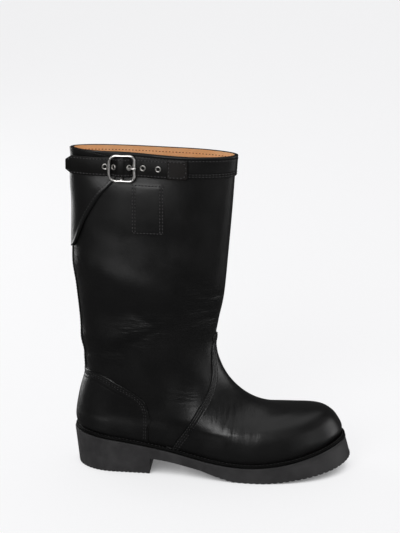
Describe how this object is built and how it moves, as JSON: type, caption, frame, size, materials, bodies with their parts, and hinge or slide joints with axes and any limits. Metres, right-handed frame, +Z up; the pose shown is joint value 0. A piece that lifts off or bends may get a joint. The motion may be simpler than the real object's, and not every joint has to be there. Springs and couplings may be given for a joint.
{
  "type": "buckle boot",
  "caption": "Tall right leather pull-on boot with a round toe, stacked rubber sole and heel, and a strap with a centre-bar buckle that draws in the collar.",
  "frame": {"origin": "on the floor under the middle of the boot's bounding box", "axes": "+X towards the toe, +Y towards the inner side of the foot, +Z up"},
  "size_m": [0.304, 0.1104, 0.3544],
  "materials": {
    "upper_leather": "smooth black leather with a soft gloss",
    "strap_leather": "smooth black leather, slightly duller",
    "lining": "tan leather lining",
    "welt": "black stitched welt",
    "sole_rubber": "matte black rubber",
    "buckle_metal": "polished nickel"
  },
  "bodies": {
    "root": {"outsole": "sole_rubber", "welt": "welt", "insole": "lining", "upper": "upper_leather", "counter": "upper_leather", "vamp_seam": "upper_leather", "back_strip": "upper_leather", "wing": "upper_leather", "collar_band": "upper_leather", "pull_strap_lateral": "lining", "pull_strap_medial": "lining", "strap": "strap_leather", "buckle_frame": "buckle_metal", "buckle_chape": "strap_leather", "buckle_prong": "buckle_metal", "eyelet_1": "buckle_metal", "eyelet_2": "buckle_metal", "eyelet_3": "buckle_metal", "eyelet_4": "buckle_metal", "eyelet_5": "buckle_metal"}
  },
  "joints": []
}
